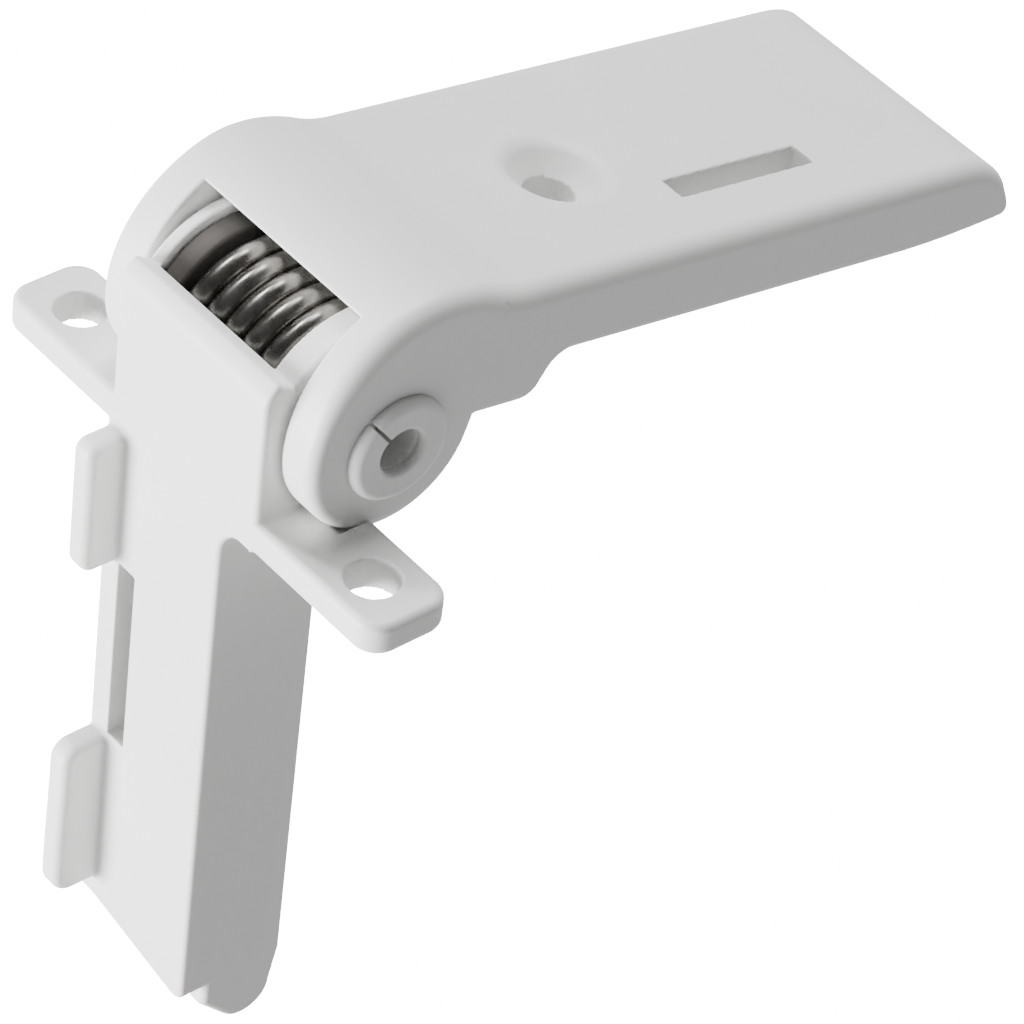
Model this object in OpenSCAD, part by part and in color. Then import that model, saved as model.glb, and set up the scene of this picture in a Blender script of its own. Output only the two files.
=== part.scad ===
// Sprung hinge bracket: a long slotted leaf that swings on a screw-on base with a torsion spring.
// Millimetres, +Z up. The origin is midway between the two ear screws, on the underside of the ears.

/* [Leaf] */
// Width of the leaf and of the knuckle across its cheeks
leaf_w = 27; // [26:0.5:28]
// Distance from the pin axis to the rounded end of the leaf
leaf_len = 66.3; // [58:0.1:70]
// Height of the leaf's top face above the pin axis
leaf_top = 11.71; // [11:0.01:12]
// Thickness of the leaf
leaf_t = 7.09; // [7:0.01:7.5]
// Slope of the leaf below level in the stored pose, in degrees
leaf_slope = 9.65; // [5:0.05:15]
// Radius that rounds the top of the leaf over its far end
nose_r = 5.8; // [4:0.1:6]
// Radius along the leaf's top edges
leaf_edge_r = 1.75; // [0.5:0.05:2.5]
// Distance from the pin axis to the leaf's screw hole
leaf_hole_y = 24.1; // [23:0.1:27]
// Radius of the leaf's screw hole
leaf_hole_r = 2.2; // [1.8:0.05:2.5]
// Radius of the countersink at the top face
leaf_sink_r = 4.4; // [3.5:0.05:4.6]
// Width of the leaf's slot
slot_w = 2.5; // [1.5:0.1:3.5]
// Length of the leaf's slot
slot_l = 14.7; // [8:0.1:16]

/* [Knuckle] */
// Thickness of each knuckle cheek
cheek_t = 3.75; // [3:0.05:3.8]
// Radius of the cheek's lower edge about the pin
cheek_low_r = 8.15; // [7.8:0.05:8.2]
// Radius of the knuckle's outer surface
knuckle_r = 12.05; // [12:0.05:12.2]
// Inner radius of the knuckle's skin
skin_r = 9.45; // [9.4:0.05:9.6]

/* [Base] */
// Half the width of the spring barrel
barrel_hw = 9.4; // [9.2:0.05:9.45]
// Radius of the barrel's side discs
disc_r = 9.1; // [9:0.05:9.15]
// Radius of the spring chamber
chamber_r = 8.95; // [8.9:0.01:9]
// Thickness of the screw ears
ear_t = 3.1; // [2.5:0.1:3.1]
// Distance from the middle to the tip of the near ear
ear_reach = 24.1; // [22.5:0.05:26]
// Distance from the middle to the tip of the far ear
far_ear_reach = 24.4; // [22.5:0.05:26]
// Centre distance of the two ear screws
ear_pitch = 38.1; // [37:0.1:39]
// Radius of the ear screw holes
ear_hole_r = 2.25; // [1.8:0.05:2.6]
// Thickness of the leg's front plate
plate_t = 1.4; // [1.2:0.1:2]
// Thickness of the leg's side walls
wall_t = 2.46; // [2:0.02:3]
// How far the upper rib stands out of the front face
rib_up_out = 3.54; // [2:0.02:4]
// How far the lower rib stands out of the front face
rib_low_out = 4.4; // [2:0.02:4.5]

/* [Pin and spring] */
// Outer radius of the split pins
pin_r = 3.6; // [3.4:0.05:3.7]
// Radius of the hole through the split pins
pin_bore_r = 2; // [1.8:0.05:2.4]
// Radius of the pin heads
head_r = 4.7; // [4.3:0.05:4.8]
// How far the pin heads stand out of the cheeks
head_h = 1; // [0.8:0.05:1.4]
// Width of the slit along each pin
slit_w = 0.35; // [0.2:0.05:0.6]
// Radius of the spring wire
wire_r = 1.1; // [0.9:0.02:1.12]
// Radius of the coil at the wire's centre
coil_r = 7.45; // [7.3:0.01:7.5]
// Rise of the coil for each turn
coil_pitch = 2.27; // [2.25:0.01:2.28]

/* [Hidden] */
$fn = 96;
white = [0.9, 0.9, 0.89];
steel = [0.36, 0.36, 0.37];
big = 40;
eps = 0.01;
leaf_hw = leaf_w / 2;
leaf_low = leaf_top - leaf_t;
cheek_in = leaf_hw - cheek_t;
// centre of the knuckle's outer surface, so that it runs into the cheek's lower edge
knuckle_turn = 14;
knuckle_step = 0.03;
knuckle_off = knuckle_r - cheek_low_r - knuckle_step;
knuckle_y = knuckle_off * cos(knuckle_turn);
knuckle_n = knuckle_off * sin(knuckle_turn);
// hollow that runs the knuckle into the leaf's top face
blend_r = 14;
blend_bite = 0.02;
blend_n = leaf_top + blend_r;
blend_y = knuckle_y + sqrt(pow(knuckle_r + blend_r, 2) - pow(blend_n - knuckle_n, 2));
blend_share = knuckle_r / (knuckle_r + blend_r);
blend_from_y = knuckle_y + (blend_y - knuckle_y) * blend_share;
blend_from_n = knuckle_n + (blend_n - knuckle_n) * blend_share;
// block under the root of the leaf
root_low = 0.6;
root_r = 1.2;
root_y = 13.1;
root_slope = 66;
root_touch_y = root_y + root_r * sin(root_slope);
root_touch_n = root_low + root_r - root_r * cos(root_slope);
// lower edge of the leaf's far end, back from the end and up from the underside
nose_rise_y = 4.3;
nose_turn_y = 0.9;
nose_turn_n = 0.75;
nose_end_n = 1.9;
root_end_y = root_touch_y + (leaf_low - root_touch_n) / tan(root_slope);
// edge of the skin over the window
skin_edge_y = -3.404;
skin_edge_n = 10.478;
skin_edge_slope = 35.35;
leaf_hole_x = 0.47;
leaf_slot_x = 4.97;
leaf_slot_y = 31.9;
cheek_bore_r = pin_r - 0.03;
// pin axis
pin_y = 5.8;
pin_z = 9.7;
pin_run_r = pin_r + 0.06;
pin_inner_x = 0.2;
head_edge_r = 0.8;
head_lip_r = 0.5;
slit_turn = 128;
// barrel, as distances from the pin axis
front_y = -9.76;
rear_y = 0.75;
barrel_low_z = -pin_z;
chamber_far_x = -8.05;
chamber_near_x = 6.6;
lip_r = 1.8;
lip_z = 5.2;
lip_peak_y = -8.4;
lip_peak_z = 6.945;
lip_in_y = -6.8;
lip_in_z = 5.8;
floor_z = -11.2;
// ears
ear_rear_y = -1.59;
ear_corner_r = 2.2;
cheek_relief_r = 8.35;
cheek_relief_x = leaf_hw + 0.2;
// leg
leg_far_x = -9.56;
leg_near_x = 5.22;
leg_fillet_r = 3;
foot_far_z = -61.5;
foot_near_z = -64.5;
far_wall_z = -61.6;
notch_z = -63.9;
toe_y = -2.75;
toe_z = -66.65;
toe_r = 2.75;
toe_front_y = -5.2;
toe_front_z = -65.3;
toe_front_r = 2;
// direction in which the toe's two arcs share an edge
toe_gap = norm([toe_front_y - toe_y, toe_front_z - toe_z]);
toe_turn = atan2(toe_front_z - toe_z, toe_front_y - toe_y) + acos((toe_r - toe_front_r) / toe_gap);
leg_slot_x = -5;
leg_slot_top = -23.2;
leg_slot_low = -42.2;
rib_up_top = -9.7;
rib_up_low = -23;
rib_low_top = -42.7;
rib_low_low = -59.4;
rib_top_r = 0.9;
rib_up_r = 1.6;
rib_low_r = 1.8;
// spring
base_turn = 200;
arm_turn = 90 - leaf_slope - 1440;
coil_far_x = -4.5;
coil_near_x = coil_far_x + coil_pitch * (base_turn - arm_turn) / 360;
base_leg_l = 14;
arm_leg_l = 19.5;
coil_step = 10;
coil_count = ceil((base_turn - arm_turn) / coil_step);
wire_sides = 10;
leg_gap = 0.3;
// sleeve
collar_r = 8.5;
collar_x = -5.75;
mandrel_r = 5.9;
sleeve_far_x = chamber_far_x + 0.1;
sleeve_near_x = chamber_near_x - 0.15;

// puts a drawing in the Y-Z plane and gives it thickness from x0 to x1
module slab(x0, x1) {
    translate([x0, 0, 0])
        rotate([90, 0, 90])
            linear_extrude(height = x1 - x0)
                children();
}

// a rod along X from x0 to x1
module rod(r, x0, x1) {
    translate([x0, 0, 0])
        rotate([0, 90, 0])
            cylinder(h = x1 - x0, r = r);
}

module at_pin() {
    translate([0, pin_y, pin_z])
        children();
}

module box_2d(a0, b0, a1, b1) {
    translate([a0, b0])
        square([a1 - a0, b1 - b0]);
}

// a rectangle whose corners in the list [low-low, high-low, high-high, low-high] are rounded
module round_box(a0, b0, a1, b1, r) {
    difference() {
        box_2d(a0, b0, a1, b1);
        if (r[0] > 0) box_2d(a0 - eps, b0 - eps, a0 + r[0], b0 + r[0]);
        if (r[1] > 0) box_2d(a1 - r[1], b0 - eps, a1 + eps, b0 + r[1]);
        if (r[2] > 0) box_2d(a1 - r[2], b1 - r[2], a1 + eps, b1 + eps);
        if (r[3] > 0) box_2d(a0 - eps, b1 - r[3], a0 + r[3], b1 + eps);
    }
    if (r[0] > 0) translate([a0 + r[0], b0 + r[0]]) circle(r = r[0]);
    if (r[1] > 0) translate([a1 - r[1], b0 + r[1]]) circle(r = r[1]);
    if (r[2] > 0) translate([a1 - r[2], b1 - r[2]]) circle(r = r[2]);
    if (r[3] > 0) translate([a0 + r[3], b1 - r[3]]) circle(r = r[3]);
}

// side view of the leaf plate
module leaf_side() {
    difference() {
        round_box(knuckle_y, leaf_low, leaf_len, leaf_top, [0, 0, nose_r, 0]);
        polygon([
            [leaf_len - nose_rise_y, leaf_low - 1],
            [leaf_len - nose_rise_y, leaf_low],
            [leaf_len - nose_turn_y, leaf_low + nose_turn_n],
            [leaf_len, leaf_low + nose_end_n],
            [leaf_len + 1, leaf_low + nose_end_n],
            [leaf_len + 1, leaf_low - 1]
        ]);
    }
}

// side view of the knuckle above its lower edge, with the block under the leaf's root
module knuckle_side() {
    intersection() {
        translate([knuckle_y, knuckle_n])
            circle(r = knuckle_r);
        rotate(knuckle_turn)
            box_2d(-big, 0, big, big);
    }
    polygon([
        [0, root_low],
        [root_y, root_low],
        [root_y, root_low + root_r],
        [root_touch_y, root_touch_n],
        [root_end_y, leaf_low],
        [blend_y, leaf_top],
        [0, leaf_top]
    ]);
    translate([root_y, root_low + root_r])
        circle(r = root_r);
    difference() {
        polygon([
            [blend_from_y - 1, leaf_top - 1],
            [blend_y, leaf_top - 1],
            [blend_y, leaf_top],
            [blend_from_y, blend_from_n]
        ]);
        translate([blend_y, blend_n - blend_bite])
            circle(r = blend_r);
    }
}

// what is taken away beyond the edge of the skin
module skin_cut() {
    translate([skin_edge_y, skin_edge_n])
        rotate(-skin_edge_slope)
            box_2d(-6, -big, 3.2, 0);
    box_2d(-big, -big, 0, 8.6);
}

// outline of the leaf across its length
module leaf_front() {
    round_box(-leaf_hw, leaf_low, leaf_hw, leaf_top, [0.5, 0.5, leaf_edge_r, leaf_edge_r]);
}

module arm_leaf() {
    color(white)
        at_pin()
            rotate([-leaf_slope, 0, 0])
                difference() {
                    union() {
                        intersection() {
                            slab(-leaf_hw, leaf_hw)
                                leaf_side();
                            translate([0, leaf_len + 1, 0])
                                rotate([90, 0, 0])
                                    linear_extrude(height = leaf_len)
                                        leaf_front();
                        }
                        slab(-leaf_hw, leaf_hw) {
                            circle(r = cheek_low_r);
                            knuckle_side();
                        }
                    }
                    slab(-cheek_in, cheek_in) {
                        circle(r = skin_r);
                        skin_cut();
                    }
                    rod(cheek_bore_r, -big, big);
                    translate([leaf_hole_x, leaf_hole_y, 0])
                        cylinder(h = big, r = leaf_hole_r);
                    translate([leaf_hole_x, leaf_hole_y, leaf_top - leaf_sink_r + leaf_hole_r])
                        cylinder(h = leaf_sink_r - leaf_hole_r + eps, r1 = leaf_hole_r, r2 = leaf_sink_r + eps);
                    translate([leaf_slot_x, leaf_slot_y, 0])
                        cube([slot_w, slot_l, big]);
                    translate([coil_near_x, 0, coil_r])
                        rotate([-90, 0, 0])
                            cylinder(h = arm_leg_l + 1, r = wire_r + leg_gap);
                }
}

// side view of the barrel's front wall and floor
module barrel_side() {
    box_2d(front_y, floor_z + 1.5, rear_y, 0);
    box_2d(front_y, -1, lip_in_y, lip_z);
    intersection() {
        translate([front_y + lip_r, lip_z])
            circle(r = lip_r);
        box_2d(front_y - 1, lip_z - 1, lip_peak_y, lip_peak_z + 1);
    }
    polygon([
        [lip_peak_y, lip_z - 1],
        [lip_peak_y, lip_peak_z],
        [lip_in_y, lip_in_z],
        [lip_in_y, lip_z - 1]
    ]);
}

module ear(reach) {
    difference() {
        translate([0, 0, barrel_low_z])
            linear_extrude(height = ear_t)
                round_box(barrel_hw - 1, front_y, reach, ear_rear_y, [0, ear_corner_r, ear_corner_r, 0]);
        rod(cheek_relief_r, barrel_hw, cheek_relief_x);
        translate([ear_pitch / 2, -pin_y, -big])
            cylinder(h = big, r = ear_hole_r);
    }
}

// side view of the leg's near wall, with its rounded toe
module near_wall_side() {
    box_2d(front_y, foot_near_z + 1.4, rear_y, barrel_low_z + 1);
    box_2d(front_y + plate_t / 2, notch_z, toe_front_y, barrel_low_z + 1);
    polygon([
        [toe_front_y - toe_front_r, foot_near_z + 2],
        [toe_front_y - toe_front_r, toe_front_z],
        [toe_front_y, toe_front_z],
        [toe_front_y + toe_front_r * cos(toe_turn), toe_front_z + toe_front_r * sin(toe_turn)],
        [toe_y + toe_r * cos(toe_turn), toe_z + toe_r * sin(toe_turn)],
        [toe_y, toe_z],
        [toe_y + toe_r, toe_z],
        [rear_y, foot_near_z + 2]
    ]);
    translate([toe_y, toe_z])
        circle(r = toe_r);
    translate([toe_front_y, toe_front_z])
        circle(r = toe_front_r);
}

// front view of the leg's front plate
module plate_front() {
    polygon([
        [leg_far_x, barrel_low_z + 1],
        [leg_near_x, barrel_low_z + 1],
        [leg_near_x, foot_near_z + 1.3],
        [leg_near_x - 0.3, foot_near_z + 0.6],
        [leg_near_x - 0.8, foot_near_z + 0.15],
        [leg_near_x - 1.5, foot_near_z],
        [leg_far_x, foot_far_z]
    ]);
}

module leg() {
    translate([0, front_y + plate_t, 0])
        rotate([90, 0, 0])
            linear_extrude(height = plate_t)
                plate_front();
    slab(leg_near_x - wall_t, leg_near_x)
        near_wall_side();
    slab(leg_far_x, leg_far_x + wall_t) {
        round_box(front_y, far_wall_z, rear_y, barrel_low_z + 1, [0, 3, 0, 0]);
        round_box(
            front_y - rib_up_out, rib_up_low, front_y + 1, rib_up_top,
            [rib_up_r, 0, 0, rib_top_r]
        );
        round_box(
            front_y - rib_low_out, rib_low_low, front_y + 1, rib_low_top,
            [rib_low_r, 0, 0, rib_top_r]
        );
    }
    slab(leg_far_x, leg_near_x)
        box_2d(front_y, floor_z, rear_y, barrel_low_z + 1);
    translate([0, ear_rear_y, 0])
        rotate([90, 0, 0])
            linear_extrude(height = ear_rear_y - front_y)
                difference() {
                    box_2d(
                        leg_near_x - 1, barrel_low_z - leg_fillet_r,
                        leg_near_x + leg_fillet_r, barrel_low_z + 1
                    );
                    translate([leg_near_x + leg_fillet_r, barrel_low_z - leg_fillet_r])
                        circle(r = leg_fillet_r);
                }
}

module base_housing() {
    color(white)
        at_pin()
            difference() {
                union() {
                    slab(-barrel_hw, barrel_hw)
                        barrel_side();
                    rod(disc_r, -barrel_hw, barrel_hw);
                    ear(ear_reach);
                    mirror([1, 0, 0])
                        ear(far_ear_reach);
                    leg();
                }
                rod(chamber_r, chamber_far_x, chamber_near_x);
                slab(chamber_far_x, chamber_near_x) {
                    box_2d(lip_in_y, 0, big, big);
                    box_2d(rear_y, -big, big, big);
                }
                rod(pin_run_r, -big, big);
                translate([leg_slot_x - 2.1, front_y - 1, leg_slot_low])
                    cube([2.1, plate_t + 2, leg_slot_top - leg_slot_low]);
                translate([coil_far_x - wire_r - leg_gap, -6.75, floor_z - 1])
                    cube([2 * (wire_r + leg_gap), 4.5, 7]);
            }
}

// a split pin from the middle out to its head at +X
module split_pin() {
    difference() {
        rotate([0, 90, 0])
            rotate_extrude() {
                box_2d(pin_bore_r, pin_inner_x, pin_r, leaf_hw + 0.2);
                intersection() {
                    round_box(pin_bore_r, leaf_hw - 1, head_r, leaf_hw + head_h, [0, 0, head_edge_r, head_lip_r]);
                    box_2d(pin_bore_r, leaf_hw, head_r, leaf_hw + head_h);
                }
            }
        rotate([slit_turn, 0, 0])
            translate([-1, 0, -slit_w / 2])
                cube([big, big, slit_w]);
    }
}

module hinge_pin_near() {
    color(white)
        at_pin()
            split_pin();
}

module hinge_pin_far() {
    color(white)
        at_pin()
            mirror([1, 0, 0])
                split_pin();
}

module spring_sleeve() {
    color([0.5, 0.5, 0.48])
        at_pin()
            difference() {
                union() {
                    rod(collar_r, sleeve_far_x, collar_x);
                    rod(mandrel_r, collar_x - 1, sleeve_near_x);
                }
                rod(pin_run_r, -big, big);
            }
}

function coil_point(i) =
    let (a = base_turn - (base_turn - arm_turn) * i / coil_count)
    [
        coil_far_x + (coil_near_x - coil_far_x) * i / coil_count,
        coil_r * cos(a),
        coil_r * sin(a)
    ];
base_dir = [0, sin(base_turn - 180), -cos(base_turn - 180)];
arm_dir = [0, cos(leaf_slope), -sin(leaf_slope)];
base_leg = [for (i = [4:-1:1]) coil_point(0) + base_dir * base_leg_l * i / 4];
coil = [for (i = [0:coil_count]) coil_point(i)];
arm_leg = [for (i = [1:4]) coil_point(coil_count) + arm_dir * arm_leg_l * i / 4];
wire = concat(base_leg, coil, arm_leg);
wire_n = len(wire);
function unit(v) = v / norm(v);
function wire_dir(i) = unit(wire[min(i + 1, wire_n - 1)] - wire[max(i - 1, 0)]);
wire_pts = [
    for (i = [0:wire_n - 1])
        let (t = wire_dir(i), u = unit(cross(t, [1, 0, 0])), v = cross(t, u))
        for (k = [0:wire_sides - 1])
            wire[i] + wire_r * (cos(360 * k / wire_sides) * u + sin(360 * k / wire_sides) * v)
];
wire_faces = concat(
    [[for (k = [0:wire_sides - 1]) k]],
    [
        for (i = [0:wire_n - 2])
            for (k = [0:wire_sides - 1])
                [
                    i * wire_sides + k,
                    (i + 1) * wire_sides + k,
                    (i + 1) * wire_sides + (k + 1) % wire_sides,
                    i * wire_sides + (k + 1) % wire_sides
                ]
    ],
    [[for (k = [wire_sides - 1:-1:0]) (wire_n - 1) * wire_sides + k]]
);

module torsion_spring() {
    color(steel)
        at_pin()
            polyhedron(points = wire_pts, faces = wire_faces, convexity = 10);
}

arm_leaf();
base_housing();
hinge_pin_near();
hinge_pin_far();
spring_sleeve();
torsion_spring();
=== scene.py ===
import math

import bpy
import numpy as np
from mathutils import Matrix, Vector


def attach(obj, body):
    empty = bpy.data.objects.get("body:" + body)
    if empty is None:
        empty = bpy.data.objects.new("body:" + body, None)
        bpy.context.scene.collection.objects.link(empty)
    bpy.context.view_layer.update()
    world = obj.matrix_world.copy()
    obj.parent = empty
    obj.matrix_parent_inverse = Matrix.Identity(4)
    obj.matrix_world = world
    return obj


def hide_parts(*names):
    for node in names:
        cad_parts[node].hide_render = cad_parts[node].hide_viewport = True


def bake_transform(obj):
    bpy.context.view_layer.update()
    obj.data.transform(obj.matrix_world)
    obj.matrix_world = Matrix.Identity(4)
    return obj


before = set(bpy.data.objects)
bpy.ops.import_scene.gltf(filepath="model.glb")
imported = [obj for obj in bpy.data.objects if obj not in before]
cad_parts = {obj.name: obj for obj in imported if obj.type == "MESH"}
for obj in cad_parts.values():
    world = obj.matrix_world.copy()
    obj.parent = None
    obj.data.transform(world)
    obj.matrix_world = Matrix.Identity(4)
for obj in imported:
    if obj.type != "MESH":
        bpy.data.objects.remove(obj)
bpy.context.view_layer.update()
scene = bpy.context.scene

# ---------------------------------------------------------------- camera
cam_data = bpy.data.cameras.new("camera")
cam = bpy.data.objects.new("camera", cam_data)
scene.collection.objects.link(cam)
cam_data.sensor_width = 36.0
cam_data.lens = 185.45
cam_data.clip_start = 0.01
cam_data.clip_end = 20.0
right = Vector((0.6295, 0.7706, 0.0995)).normalized()
back = Vector((0.5379, -0.5246, 0.6599)).normalized()
up = back.cross(right).normalized()
right = up.cross(back).normalized()
turn = Matrix((right, up, back)).transposed().to_4x4()
cam.matrix_world = Matrix.Translation((0.239308, -0.201096, 0.273437)) @ turn
scene.camera = cam

# ---------------------------------------------------------------- rounded solids from distance functions
# Shapes are in millimetres from the middle of the pin: x along it, y and z as in the frame.
PIN = np.array([0.0, 5.8, 9.7])
SLOPE_DEG = 9.65
SLOPE = math.radians(SLOPE_DEG)
LEAF_HALF = 13.5  # half the width of the leaf and its cheeks
CHEEK_IN = 9.75  # inner faces of the cheeks, on either side of the pin's middle
CHEEK_R = 8.15
SKIN_R = 9.45  # inside of the curved skin over the spring
PIN_R, BORE_R = 3.6, 2.0
HEAD_R, HEAD_OUT = 4.7, 1.0  # a pin's head, and how far it stands out of its cheek
BARREL_R, BARREL_HALF = 9.1, 9.4
ROOM_R, ROOM_X = 8.95, (-8.05, 6.6)  # the spring's room inside the barrel
FRONT, REAR = -9.76, 0.75  # front and back of the base, along y
EAR_BACK = -1.59
EAR_LOW, EAR_TOP = -9.7, -6.6
LEG_X, LEG_TOP = (-9.56, 5.22), -8.0
GRID, PIN_GRID = 0.25, 0.1  # steps of the grids that the surfaces are found on


def both(a, b, r):
    """What a and b share, with its edge rounded to radius r."""
    return np.minimum(-r, np.maximum(a, b)) + np.hypot(np.maximum(a + r, 0), np.maximum(b + r, 0))


def join(a, b, r):
    """a and b together, with the inner corner filled to radius r."""
    return np.maximum(r, np.minimum(a, b)) - np.hypot(np.maximum(r - a, 0), np.maximum(r - b, 0))


def less(a, b, r):
    """a without b, with the new edges rounded to radius r."""
    return both(a, -b, r)


def span(v, lo, hi):
    """The slab from lo to hi."""
    return np.abs(v - (lo + hi) / 2) - (hi - lo) / 2


def rect(u, v, u0, u1, v0, v1, r):
    """A rectangle with its corners rounded to radius r."""
    du = np.abs(u - (u0 + u1) / 2) - (u1 - u0) / 2 + r
    dv = np.abs(v - (v0 + v1) / 2) - (v1 - v0) / 2 + r
    return np.minimum(np.maximum(du, dv), 0) + np.hypot(np.maximum(du, 0), np.maximum(dv, 0)) - r


def ramp(v, lo, hi):
    """0 up to lo and 1 from hi on, with a smooth rise between."""
    t = np.clip((v - lo) / (hi - lo), 0, 1)
    return t * t * (3 - 2 * t)


def skin(f, lo, hi, h):
    """Vertices, quads and normals of the surface f = 0 inside the box lo to hi, on a grid of step h."""
    lo, hi = np.array(lo, float), np.array(hi, float)
    nb = 8  # grid steps along one side of a block
    blocks = np.ceil((hi - lo) / h / nb).astype(int) + 1
    size = blocks * nb
    mid = [lo[a] + h * nb * (np.arange(blocks[a]) + 0.5) for a in range(3)]
    gx, gy, gz = np.meshgrid(*mid, indexing="ij")
    coarse = f(gx, gy, gz)  # once per block, so that only blocks near the surface are worked out in full
    live = np.abs(coarse) < 1.5 * h * nb * math.sqrt(3) / 2
    field = np.where(coarse < 0, -9.0, 9.0).astype(np.float32)  # any far value, inside or outside
    for axis in range(3):
        field = np.repeat(field, nb, axis)
    bi, bj, bk = np.nonzero(live)
    step = np.arange(nb)
    batch = 2000
    for start in range(0, len(bi), batch):
        pick = slice(start, start + batch)
        ii = (bi[pick, None] * nb + step)[:, :, None, None]
        jj = (bj[pick, None] * nb + step)[:, None, :, None]
        kk = (bk[pick, None] * nb + step)[:, None, None, :]
        ii, jj, kk = np.broadcast_arrays(ii, jj, kk)
        field[ii, jj, kk] = f(lo[0] + h * ii, lo[1] + h * jj, lo[2] + h * kk)
    solid = field < 0
    total = sum(
        solid[a:size[0] - 1 + a, b:size[1] - 1 + b, d:size[2] - 1 + d].astype(np.int8)
        for a in (0, 1) for b in (0, 1) for d in (0, 1)
    )
    ci, cj, ck = np.nonzero((total > 0) & (total < 8))
    number = np.full(total.shape, -1, np.int32)
    number[ci, cj, ck] = np.arange(len(ci))
    # One vertex in each cell that the surface crosses, at the mean of the crossings on the cell's edges.
    corners = [(a, b, d) for a in (0, 1) for b in (0, 1) for d in (0, 1)]
    value = {q: field[ci + q[0], cj + q[1], ck + q[2]].astype(float) for q in corners}
    where = np.zeros((len(ci), 3))
    hits = np.zeros(len(ci))
    for q in corners:
        for axis in range(3):
            if q[axis]:
                continue
            other = tuple(1 if a == axis else q[a] for a in range(3))
            v0, v1 = value[q], value[other]
            cross = (v0 < 0) != (v1 < 0)
            t = np.where(cross, v0 / np.where(cross, v0 - v1, 1), 0)
            for a in range(3):
                where[:, a] += np.where(cross, q[a] + (t if a == axis else 0), 0)
            hits += cross
    pts = lo + h * (np.stack([ci, cj, ck], 1) + where / hits[:, None])
    # One quad for each grid edge that the surface crosses, round the four cells that share the edge.
    quads = []
    for axis in range(3):
        near = [slice(None)] * 3
        far = [slice(None)] * 3
        near[axis], far[axis] = slice(0, -1), slice(1, None)
        a0, a1 = solid[tuple(near)], solid[tuple(far)]
        e = np.stack(np.nonzero(a0 != a1), 1)
        u, w = (axis + 1) % 3, (axis + 2) % 3
        e = e[(e[:, u] > 0) & (e[:, w] > 0) & (e[:, u] < size[u] - 1) & (e[:, w] < size[w] - 1)]
        ring = []
        for du, dw in ((-1, -1), (0, -1), (0, 0), (-1, 0)):
            q = e.copy()
            q[:, u] += du
            q[:, w] += dw
            ring.append(number[q[:, 0], q[:, 1], q[:, 2]])
        ring = np.stack(ring, 1)
        outward = a0[e[:, 0], e[:, 1], e[:, 2]]
        quads.append(np.where(outward[:, None], ring, ring[:, ::-1]))
    quads = np.concatenate(quads)
    d = 0.01

    def slope(p):
        return np.stack([
            (f(p[:, 0] + d, p[:, 1], p[:, 2]) - f(p[:, 0] - d, p[:, 1], p[:, 2])) / (2 * d),
            (f(p[:, 0], p[:, 1] + d, p[:, 2]) - f(p[:, 0], p[:, 1] - d, p[:, 2])) / (2 * d),
            (f(p[:, 0], p[:, 1], p[:, 2] + d) - f(p[:, 0], p[:, 1], p[:, 2] - d)) / (2 * d),
        ], 1)

    # Vertices slide onto the surface, and their normals are the slope of f there.
    for _ in range(3):
        g = slope(pts)
        move = -(f(pts[:, 0], pts[:, 1], pts[:, 2]) / np.maximum((g * g).sum(1), 0.25))[:, None] * g
        length = np.linalg.norm(move, axis=1, keepdims=True)
        pts = pts + move * np.minimum(1, 0.5 * h / np.maximum(length, 1e-9))
    g = slope(pts)
    return pts, quads, g / np.maximum(np.linalg.norm(g, axis=1, keepdims=True), 1e-9)


def mesh_piece(name, pts, faces, normals=None):
    """An object from points in millimetres from the pin axis. faces is an array of quads or a list."""
    me = bpy.data.meshes.new(name)
    co = (np.asarray(pts) + PIN) * 0.001
    if isinstance(faces, np.ndarray):
        me.vertices.add(len(co))
        me.vertices.foreach_set("co", co.astype(np.float32).ravel())
        me.loops.add(faces.size)
        me.loops.foreach_set("vertex_index", faces.astype(np.int32).ravel())
        me.polygons.add(len(faces))
        me.polygons.foreach_set("loop_start", np.arange(0, faces.size, faces.shape[1], dtype=np.int32))
        me.update(calc_edges=True)
    else:
        me.from_pydata([tuple(p) for p in co], [], faces)
    me.validate()
    me.polygons.foreach_set("use_smooth", np.ones(len(me.polygons), dtype=bool))
    if normals is not None:
        me.normals_split_custom_set_from_vertices([tuple(v) for v in normals])
    ob = bpy.data.objects.new(name, me)
    scene.collection.objects.link(ob)
    return ob


# ---------------------------------------------------------------- leaf
KNUCKLE_R = 12.03
KNUCKLE = KNUCKLE_R - CHEEK_R
TURN_SIN, TURN_COS = math.sin(math.radians(14)), math.cos(math.radians(14))
KNUCKLE_Y, KNUCKLE_N = KNUCKLE * TURN_COS, KNUCKLE * TURN_SIN
TOP, LOW, END = 11.71, 4.62, 66.28


def leaf_side(y, n):
    """Side view of the leaf, y along it and n up from the pin axis."""
    low = np.hypot(y, n) - CHEEK_R
    above = y * TURN_SIN - n * TURN_COS
    dome = np.maximum(np.hypot(y - KNUCKLE_Y, n - KNUCKLE_N) - KNUCKLE_R, above)
    plate = np.maximum(both(n - TOP, y - END, 6.6), 6.0 - y)
    under = both(LOW - n, (y - 62.0) * 0.2148 - (n - LOW) * 0.9767, 2.0)
    plate = both(plate, under, ramp(y, 50, 60) * 0.9 + 0.05)
    block = both(both(0.6 - n, (y - 14.196) * 0.9135 - (n - 1.312) * 0.4067, 1.3), n - 8.0, 0.2)
    block = np.maximum(block, -y)
    dip = 14.03 - np.hypot(y - 11.86, n - 25.71)
    dip = np.maximum.reduce([dip, y - 11.86, 7.5 - y, 8.0 - n, n - 13.0])
    return np.minimum.reduce([low, dome, dip, join(plate, block, 1.2)])


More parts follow.
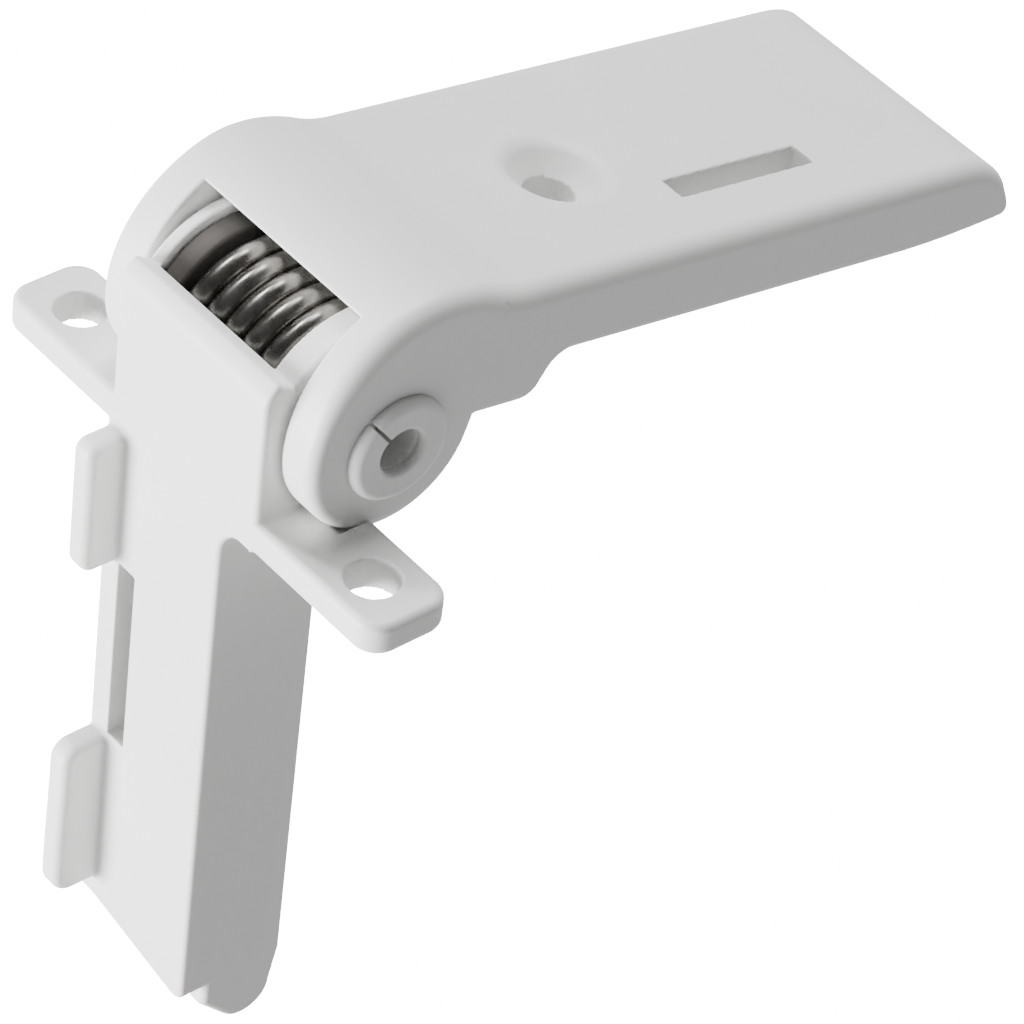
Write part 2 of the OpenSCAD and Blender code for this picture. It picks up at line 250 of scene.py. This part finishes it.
def edge_round(x, y, n):
    """Rounding of the leaf's side edges: wider along the top and over the knuckles, small at the tip."""
    top = np.where(y > 10, ramp(n, 6.5, 8.5), ramp(n, 2, 8.5))
    top = top * np.where(x > 0, 1, ramp(y, -1, 9))
    r = 0.6 + 1.15 * top + np.where(x > 0, 0.5, 0.1) * (1 - top) * np.maximum(ramp(-n, -2, 1), ramp(-y, 0, 4))
    return r - 0.6 * (r - 0.6) * ramp(y, 60, 65)


def leaf(x, yw, zw):
    """The leaf at its slope, less the gap over the spring, the screw hole, the slot and the wire's hole."""
    y = yw * math.cos(SLOPE) - zw * math.sin(SLOPE)
    n = yw * math.sin(SLOPE) + zw * math.cos(SLOPE)
    solid = both(leaf_side(y, n), np.abs(x) - LEAF_HALF, edge_round(x, y, n))
    ring = np.hypot(y, n) - SKIN_R
    away = np.maximum((y + 3.404) * 0.5786 + (n - 10.478) * 0.8156, y + 0.2)
    below = np.maximum(y + 0.2, n - 8.6)
    gap = np.minimum(np.minimum(ring, away), below)
    solid = less(solid, np.maximum(gap, np.abs(x) - CHEEK_IN), 0.3)
    screw = np.hypot(x - 0.47, y - 24.1) - 2.2
    sink = np.maximum((screw - (n - 9.51)) * 0.7071, 9.0 - n)
    solid = less(solid, np.minimum(sink, screw), 0.6)
    slot = np.maximum(rect(x, y, 4.97, 7.47, 31.9, 46.6, 0.15), 4.0 - n)
    solid = less(solid, slot, 0.15)
    wire_hole = np.maximum(np.hypot(x - 5.334, n - 7.45) - 1.4, span(y, 0.0, 20.5))
    return less(solid, np.minimum(wire_hole, np.hypot(y, n) - PIN_R + 0.03), 0.15)


# ---------------------------------------------------------------- base
# The toe is two rounds, a foot and a tip. TOE_TURN points square out of the edge that runs under both.
FOOT_Y, FOOT_Z, FOOT_R = -2.75, -66.65, 2.74
TIP_Y, TIP_Z, TIP_R = -5.2, -65.3, 2.0
TO_TIP = (TIP_Y - FOOT_Y, TIP_Z - FOOT_Z)
TOE_TURN = math.atan2(TO_TIP[1], TO_TIP[0]) + math.acos(0.75 / math.hypot(*TO_TIP))
TOE_COS, TOE_SIN = math.cos(TOE_TURN), math.sin(TOE_TURN)


def lip_side(y, z):
    """Side view of the front wall's lip under the window."""
    front = FRONT - y
    crown = -0.2419 * y + 0.9703 * z - 8.771
    fall = 0.5837 * y + 0.812 * z - 0.741
    return both(both(front, crown, 1.8), fall, 0.3)


def barrel(x, y, z):
    """A round about the pin axis, joined to the front wall and the block under it."""
    wall = np.maximum.reduce([lip_side(y, z), y - REAR, EAR_LOW - z])
    wall = np.where(z > 0, np.maximum(wall, y + 6.0), wall)
    return both(np.minimum(wall, np.hypot(y, z) - BARREL_R), np.abs(x) - BARREL_HALF, 0.5)


def screw_ears(x, y, z):
    """Both ears with their holes, scooped out where the knuckle cheeks turn over them."""
    plan = rect(x, y, -24.4, 24.1, FRONT, EAR_BACK, 2.3)
    ears = both(plan, span(z, EAR_LOW, EAR_TOP), 0.7)
    ears = less(ears, np.hypot(np.abs(x) - 19.05, y + 5.8) - 2.25, 0.14)
    return less(ears, np.maximum(np.hypot(y, z) - 8.3, np.abs(np.abs(x) - 11.6) - 2.04), 0.1)


def near_wall(x, y, z):
    """The near side of the leg: its wall, the web behind the notch, and the shin down to the toe."""
    toe = np.minimum(np.hypot(y - FOOT_Y, z - FOOT_Z) - FOOT_R, np.hypot(y - TIP_Y, z - TIP_Z) - TIP_R)
    under = (y + 4.67) * TOE_COS + (z + 68.61) * TOE_SIN
    heel = y * 0.9784 - (z - FOOT_Z) * 0.2067
    sole = np.minimum(FOOT_Z - z, (z - FOOT_Z) * TOE_COS - (y - FOOT_Y) * TOE_SIN)
    shin = np.maximum.reduce([-7.2 - y, under, heel, sole, y - REAR, z + 45.0])
    web = np.maximum(span(y, -8.9, -5.2), -63.9 - z)
    wall = np.maximum(span(y, FRONT, REAR), -63.1 - z)
    side = np.maximum(np.minimum.reduce([wall, web, shin, toe]), z - LEG_TOP)
    return both(side, span(x, 2.76, LEG_X[1]), 0.3 + 0.45 * ramp(-y, 3, 8))


def far_wall(x, y, z):
    """The far side of the leg, with a round corner at the foot of its back edge."""
    side = np.maximum(rect(y, z, FRONT, REAR, -61.6, -3.0, 2.5), z - LEG_TOP)
    side = np.minimum(side, rect(y, z, FRONT, -6.0, -61.6, LEG_TOP, 0.05))
    return both(side, span(x, LEG_X[0], -7.1), 0.45)


def leg(x, y, z):
    """The front plate, its two side walls, the floor under the spring, and the two ribs in front."""
    foot = (-61.48 - (x - LEG_X[0]) * 0.203 - z) * 0.98
    plate = both(both(x - LEG_X[1], LEG_X[0] - x, 0.05), foot, 1.5)
    plate = both(np.maximum(plate, z - LEG_TOP), span(y, FRONT, -8.36), 0.45)
    floor = np.maximum.reduce([span(z, -11.2, -8.5), span(y, FRONT, REAR), span(x, *LEG_X)])
    up_rib = rect(y, z, -13.3, -6.0, -23.0, -9.7, 1.2)
    low_rib = rect(y, z, -14.16 + 0.2 * ramp(z, -56, -44), -6.0, -59.4, -42.7, 1.8)
    ribs = both(np.minimum(up_rib, low_rib), span(x, LEG_X[0], -7.1), 0.75)
    plain = np.minimum.reduce([plate, near_wall(x, y, z), far_wall(x, y, z), floor])
    return join(plain, ribs, 0.02 + 0.48 * ramp(x, -9.4, -8.4))


def corner_fill(x, y, z):
    """The curved fillet under the near ear, where it runs into the leg."""
    fill = np.maximum.reduce([3.0 - np.hypot(x - 8.22, z + 12.7), span(x, 2.0, 8.22), span(z, -12.7, -7.5)])
    return both(fill, span(y, FRONT, EAR_BACK), 0.45)


def spring_room(x, y, z):
    """The room for the spring, open above through the window and open behind."""
    room = np.minimum.reduce([np.hypot(y, z) - ROOM_R, np.maximum(-y - 6.8, -z), REAR - y])
    return np.maximum(room, span(x, *ROOM_X))


def base(x, y, z):
    """The whole housing. Its inner corners are filled less towards the flat front, which stays flat."""
    soft = ramp(y, -9.4, -8.4)
    body = join(barrel(x, y, z), screw_ears(x, y, z), 0.02 + 0.38 * soft)
    body = np.minimum(join(body, leg(x, y, z), 0.02 + 0.23 * soft), corner_fill(x, y, z))
    body = less(body, spring_room(x, y, z), 0.2)
    slot = np.maximum(rect(x, z, -7.1, -5.0, -42.2, -23.2, 0.1), span(y, -12, -7))
    body = less(body, slot, 0.15)
    wire_hole = np.maximum.reduce([span(x, -5.9, -3.1), span(y, -6.75, -2.25), span(z, -13, -5.5)])
    body = less(body, wire_hole, 0.15)
    return less(body, np.hypot(y, z) - PIN_R - 0.06, 0.15)


# ---------------------------------------------------------------- pins
SLIT_TURN = math.radians(128)  # the way the slit in a pin's head points, from +y towards +z


def pin(side):
    """A split pin whose head is at +x (side 1) or -x (side -1)."""
    def shape(x, y, z):
        x = x * side
        ring = np.hypot(y, z)
        shank = np.maximum(both(ring - PIN_R, 0.2 - x, 0.3), x - LEAF_HALF - 0.3)
        head = np.maximum(both(ring - HEAD_R, x - LEAF_HALF - HEAD_OUT, 0.8), LEAF_HALF - x)
        solid = less(np.minimum(shank, head), ring - BORE_R, 0.5)
        across = y * math.sin(SLIT_TURN) - z * math.cos(SLIT_TURN)
        along = y * math.cos(SLIT_TURN) + z * math.sin(SLIT_TURN)
        slit = np.maximum(np.abs(across) - 0.14, -along)
        return less(solid, slit, 0.06)
    return shape


# ---------------------------------------------------------------- materials
def plastic(name, colour, rough, grain, depth, scatter=0.0):
    """Moulded plastic: a fine even grain, slow waves, and soft patches in gloss and colour."""
    m = bpy.data.materials.new(name)
    m.use_nodes = True
    nt = m.node_tree
    bs = nt.nodes["Principled BSDF"]
    bs.inputs["Specular IOR Level"].default_value = 0.4
    if scatter:
        bs.inputs["Subsurface Weight"].default_value = scatter
        bs.inputs["Subsurface Radius"].default_value = (1.0, 0.9, 0.8)
        bs.inputs["Subsurface Scale"].default_value = 0.0008
    co = nt.nodes.new("ShaderNodeTexCoord")

    def noise(scale, detail, rough_):
        n = nt.nodes.new("ShaderNodeTexNoise")
        n.inputs["Scale"].default_value = scale
        n.inputs["Detail"].default_value = detail
        n.inputs["Roughness"].default_value = rough_
        nt.links.new(co.outputs["Object"], n.inputs["Vector"])
        return n

    def between(src, lo, hi):
        r = nt.nodes.new("ShaderNodeMapRange")
        r.inputs["From Min"].default_value = 0.3
        r.inputs["From Max"].default_value = 0.7
        r.inputs["To Min"].default_value = lo
        r.inputs["To Max"].default_value = hi
        nt.links.new(src, r.inputs["Value"])
        return r.outputs["Result"]

    patch = noise(90, 3, 0.5)
    fine = noise(grain, 3, 0.6)
    wave = noise(160, 2, 0.4)
    tint = nt.nodes.new("ShaderNodeMix")
    tint.data_type = "RGBA"
    tint.inputs["A"].default_value = (*[c * 0.975 for c in colour], 1)
    tint.inputs["B"].default_value = (*colour, 1)
    nt.links.new(between(patch.outputs["Fac"], 0, 1), tint.inputs["Factor"])
    nt.links.new(tint.outputs["Result"], bs.inputs["Base Color"])
    nt.links.new(between(patch.outputs["Fac"], rough - 0.03, rough + 0.04), bs.inputs["Roughness"])
    b1 = nt.nodes.new("ShaderNodeBump")
    b1.inputs["Strength"].default_value = 0.35
    b1.inputs["Distance"].default_value = depth
    nt.links.new(fine.outputs["Fac"], b1.inputs["Height"])
    b2 = nt.nodes.new("ShaderNodeBump")
    b2.inputs["Strength"].default_value = 0.25
    b2.inputs["Distance"].default_value = 0.00004
    nt.links.new(wave.outputs["Fac"], b2.inputs["Height"])
    nt.links.new(b1.outputs["Normal"], b2.inputs["Normal"])
    nt.links.new(b2.outputs["Normal"], bs.inputs["Normal"])
    return m


def steel_wire(name):
    """Drawn spring wire: dark polished steel with fine draw lines and a little oil staining."""
    m = bpy.data.materials.new(name)
    m.use_nodes = True
    nt = m.node_tree
    bs = nt.nodes["Principled BSDF"]
    bs.inputs["Metallic"].default_value = 1.0
    co = nt.nodes.new("ShaderNodeTexCoord")
    n = nt.nodes.new("ShaderNodeTexNoise")
    n.inputs["Scale"].default_value = 700
    n.inputs["Detail"].default_value = 4
    nt.links.new(co.outputs["Object"], n.inputs["Vector"])
    ramp_ = nt.nodes.new("ShaderNodeValToRGB")
    ramp_.color_ramp.elements[0].position = 0.35
    ramp_.color_ramp.elements[0].color = (0.14, 0.135, 0.125, 1)
    ramp_.color_ramp.elements[1].position = 0.7
    ramp_.color_ramp.elements[1].color = (0.24, 0.235, 0.22, 1)
    nt.links.new(n.outputs["Fac"], ramp_.inputs["Fac"])
    nt.links.new(ramp_.outputs["Color"], bs.inputs["Base Color"])
    r = nt.nodes.new("ShaderNodeMapRange")
    r.inputs["To Min"].default_value = 0.22
    r.inputs["To Max"].default_value = 0.34
    nt.links.new(n.outputs["Fac"], r.inputs["Value"])
    nt.links.new(r.outputs["Result"], bs.inputs["Roughness"])
    b = nt.nodes.new("ShaderNodeBump")
    b.inputs["Strength"].default_value = 0.2
    b.inputs["Distance"].default_value = 0.00002
    nt.links.new(n.outputs["Fac"], b.inputs["Height"])
    nt.links.new(b.outputs["Normal"], bs.inputs["Normal"])
    return m


WHITE = plastic("white_plastic", (0.80, 0.80, 0.79), 0.42, 2600, 0.00001, 0.15)
# The spring collar's very dark colour is partly painted shade: grey plastic made darker to stand in for the
# shade in the hollow under the window.
GREY_AND_PAINTED_SHADE = plastic("grey_plastic", (0.05, 0.046, 0.042), 0.6, 2600, 0.00001)
STEEL = steel_wire("spring_steel")


def dress(ob, body, material, slot, *nodes):
    """Gives a piece its material and the body that it rides on, and hides the CAD nodes it replaces. The slot
    argument is not used.
    """
    ob.data.materials.append(material)
    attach(ob, body)
    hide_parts(*nodes)


leaf_ob = mesh_piece("leaf_moulding", *skin(leaf, (-14, -10, -10), (14, 67, 16), GRID))
dress(leaf_ob, "leaf", WHITE, "white_plastic", "arm_leaf")
base_ob = mesh_piece("base_moulding", *skin(base, (-25, -14.75, -70.5), (24.25, 10, 10), GRID))
dress(base_ob, "base", WHITE, "white_plastic", "base_housing")
for side, name in ((1, "near"), (-1, "far")):
    lo, hi = (-0.5, 15.2) if side > 0 else (-15.2, 0.5)
    ob = mesh_piece(f"split_pin_{name}", *skin(pin(side), (lo, -5, -5), (hi, 5, 5), PIN_GRID))
    dress(ob, "leaf", WHITE, "white_plastic", f"hinge_pin_{name}")


# ---------------------------------------------------------------- sleeve, turned about the pin axis
def turned(name, outline, turns=128):
    """A solid turned about the pin axis from (x, radius) points."""
    pts = [(x, r * math.cos(2 * math.pi * k / turns), r * math.sin(2 * math.pi * k / turns))
           for x, r in outline for k in range(turns)]
    m = len(outline)
    faces = [(i * turns + k, ((i + 1) % m) * turns + k,
              ((i + 1) % m) * turns + (k + 1) % turns, i * turns + (k + 1) % turns)
             for i in range(m) for k in range(turns)]
    return mesh_piece(name, pts, np.array(faces))


sleeve = turned("spring_collar", [
    (-7.95, 3.85), (-7.95, 8.1), (-7.88, 8.35), (-7.65, 8.5), (-6.05, 8.5), (-5.82, 8.35), (-5.75, 8.1),
    (-5.75, 6.1), (-5.6, 5.9), (6.2, 5.9), (6.38, 5.82), (6.45, 5.65), (6.45, 3.85), (6.3, 3.7), (6.1, 3.66),
    (-7.7, 3.66), (-7.88, 3.72)])
# The collar's near-black colour is partly painted shade for the hollow under the window.
dress(sleeve, "base", GREY_AND_PAINTED_SHADE, "grey_plastic", "spring_sleeve")

# ---------------------------------------------------------------- spring
BASE_TURN, ARM_TURN = 200.0, 90 - SLOPE_DEG - 1440
X0, PITCH, COIL_R, WIRE_R = -4.5, 2.27, 7.45, 1.1


def spring_path():
    """The wire's middle line: its straight end in the base, the coil, and its straight end in the leaf."""
    n = 480
    pts = []
    for i in range(n + 1):
        a = math.radians(BASE_TURN - (BASE_TURN - ARM_TURN) * i / n)
        x = X0 + PITCH * (BASE_TURN - ARM_TURN) / 360 * i / n
        pts.append((x, COIL_R * math.cos(a), COIL_R * math.sin(a)))
    tail = math.radians(BASE_TURN - 180)
    first, last = np.array(pts[0]), np.array(pts[-1])
    down = np.array((0, math.sin(tail), -math.cos(tail)))
    out = np.array((0, math.cos(SLOPE), -math.sin(SLOPE)))
    start = [tuple(first + down * 14 * k / 24) for k in range(24, 0, -1)]
    end = [tuple(last + out * 19.5 * k / 30) for k in range(1, 31)]
    return np.array(start + pts + end)


def tube(name, path, r, sides=20):
    """A wire of radius r along the path, with its two cut ends eased."""
    d = np.gradient(path, axis=0)
    d /= np.linalg.norm(d, axis=1, keepdims=True)
    u = np.cross(d, (1.0, 0, 0))
    u /= np.linalg.norm(u, axis=1, keepdims=True)
    v = np.cross(d, u)
    rows = []
    ends = ((0.0, 0.55), (0.08, 0.85), (0.25, 1.0))
    for inward, k in ends:
        rows.append((path[0] + d[0] * inward, u[0], v[0], k))
    for i in range(1, len(path) - 1):
        rows.append((path[i], u[i], v[i], 1.0))
    for inward, k in reversed(ends):
        rows.append((path[-1] - d[-1] * inward, u[-1], v[-1], k))
    ang = 2 * np.pi * np.arange(sides) / sides
    pts = np.concatenate([c + r * k * (np.cos(ang)[:, None] * a + np.sin(ang)[:, None] * b)
                          for c, a, b, k in rows])
    m = len(rows)
    faces = [(i * sides + k, (i + 1) * sides + k,
              (i + 1) * sides + (k + 1) % sides, i * sides + (k + 1) % sides)
             for i in range(m - 1) for k in range(sides)]
    faces += [tuple(range(sides)), tuple((m - 1) * sides + k for k in range(sides - 1, -1, -1))]
    return mesh_piece(name, pts, faces)


spring = tube("coil_spring", spring_path(), WIRE_R)
spring.data.materials.append(STEEL)
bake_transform(spring)
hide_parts("torsion_spring")

# ---------------------------------------------------------------- floor and light
FLOOR_Z = -0.45  # metres
PURE_WHITE = 24.0  # strength that the view transform shows as white


def seen_bright(nt, socket, strength):
    """Gives the socket its strength, and pure white where the camera looks straight at it."""
    path = nt.nodes.new("ShaderNodeLightPath")
    mix = nt.nodes.new("ShaderNodeMapRange")
    mix.inputs["To Min"].default_value = strength
    mix.inputs["To Max"].default_value = PURE_WHITE
    nt.links.new(path.outputs["Is Camera Ray"], mix.inputs["Value"])
    nt.links.new(mix.outputs["Result"], socket)


bpy.ops.mesh.primitive_plane_add(size=8, location=(0, 0, FLOOR_Z))
ground = bpy.context.object
ground.name = "floor"
gm = bpy.data.materials.new("floor")
gm.use_nodes = True
gb = gm.node_tree.nodes["Principled BSDF"]
gb.inputs["Base Color"].default_value = (0.05, 0.05, 0.05, 1)
gb.inputs["Roughness"].default_value = 0.9
gb.inputs["Emission Color"].default_value = (1, 1, 1, 1)
seen_bright(gm.node_tree, gb.inputs["Emission Strength"], 0.9)
ground.data.materials.append(gm)

world = bpy.data.worlds.new("studio")
scene.world = world
world.use_nodes = True
world.node_tree.nodes["Background"].inputs["Color"].default_value = (1, 1, 1, 1)
seen_bright(world.node_tree, world.node_tree.nodes["Background"].inputs["Strength"], 0.15)


def area(name, at, aim, size, watts):
    """A round area light, with its place and size in metres."""
    data = bpy.data.lights.new(name, "AREA")
    data.shape = "DISK"
    data.size = size
    data.energy = watts
    ob = bpy.data.objects.new(name, data)
    scene.collection.objects.link(ob)
    ob.location = at
    ob.rotation_euler = (Vector(aim) - Vector(at)).to_track_quat("-Z", "Y").to_euler()


area("key", (-0.55, -0.15, 0.82), (0, 0, 0), 0.09, 5)
area("sky", (-0.3, 0.3, 1.0), (0, 0.02, 0), 0.6, 18)
area("front", (-0.3, -0.95, -0.12), (0, 0, -0.02), 0.6, 44)
